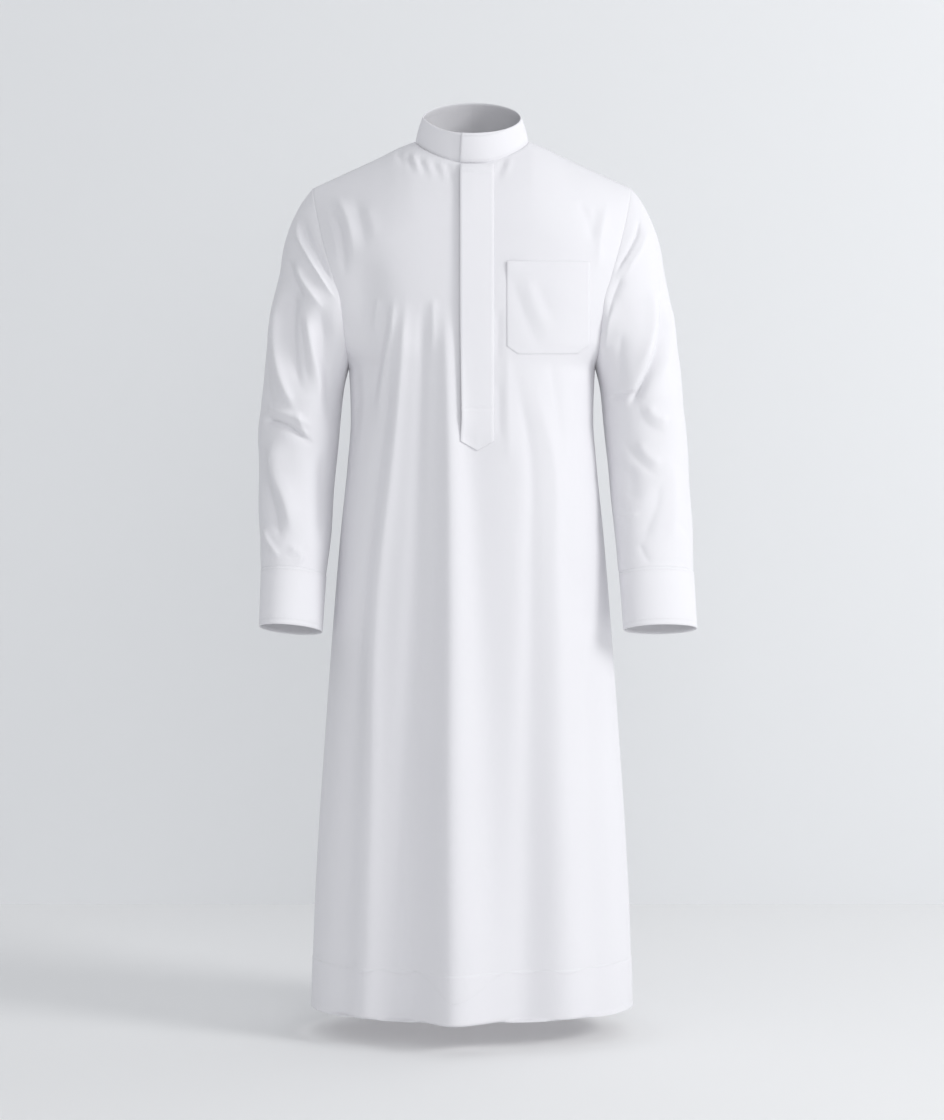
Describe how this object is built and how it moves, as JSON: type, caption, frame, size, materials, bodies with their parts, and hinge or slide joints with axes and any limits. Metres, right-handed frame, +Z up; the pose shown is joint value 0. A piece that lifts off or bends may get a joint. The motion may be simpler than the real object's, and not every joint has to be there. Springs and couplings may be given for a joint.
{
  "type": "thobe robe",
  "caption": "Long white robe with a band collar, a half-length front placket, a chest pocket and long cuffed sleeves, hollow as when worn.",
  "frame": {"origin": "middle of the neck at the height of the shoulder seams, where the wearer's shoulders carry the robe", "axes": "+Z up, the front faces -Y, +X to the wearer's left"},
  "size_m": [0.6699, 0.3595, 1.3895],
  "materials": {
    "poplin": "fine plain-weave white cloth, matt with a faint sheen",
    "stiff_poplin": "the same white cloth, doubled with interlining, flat and crisp"
  },
  "bodies": {
    "root": {"front_panel": "poplin", "back_panel": "poplin", "sleeve_left": "poplin", "sleeve_right": "poplin", "cuff_left": "stiff_poplin", "cuff_right": "stiff_poplin", "collar": "stiff_poplin", "placket": "stiff_poplin", "chest_pocket": "poplin"}
  },
  "joints": []
}
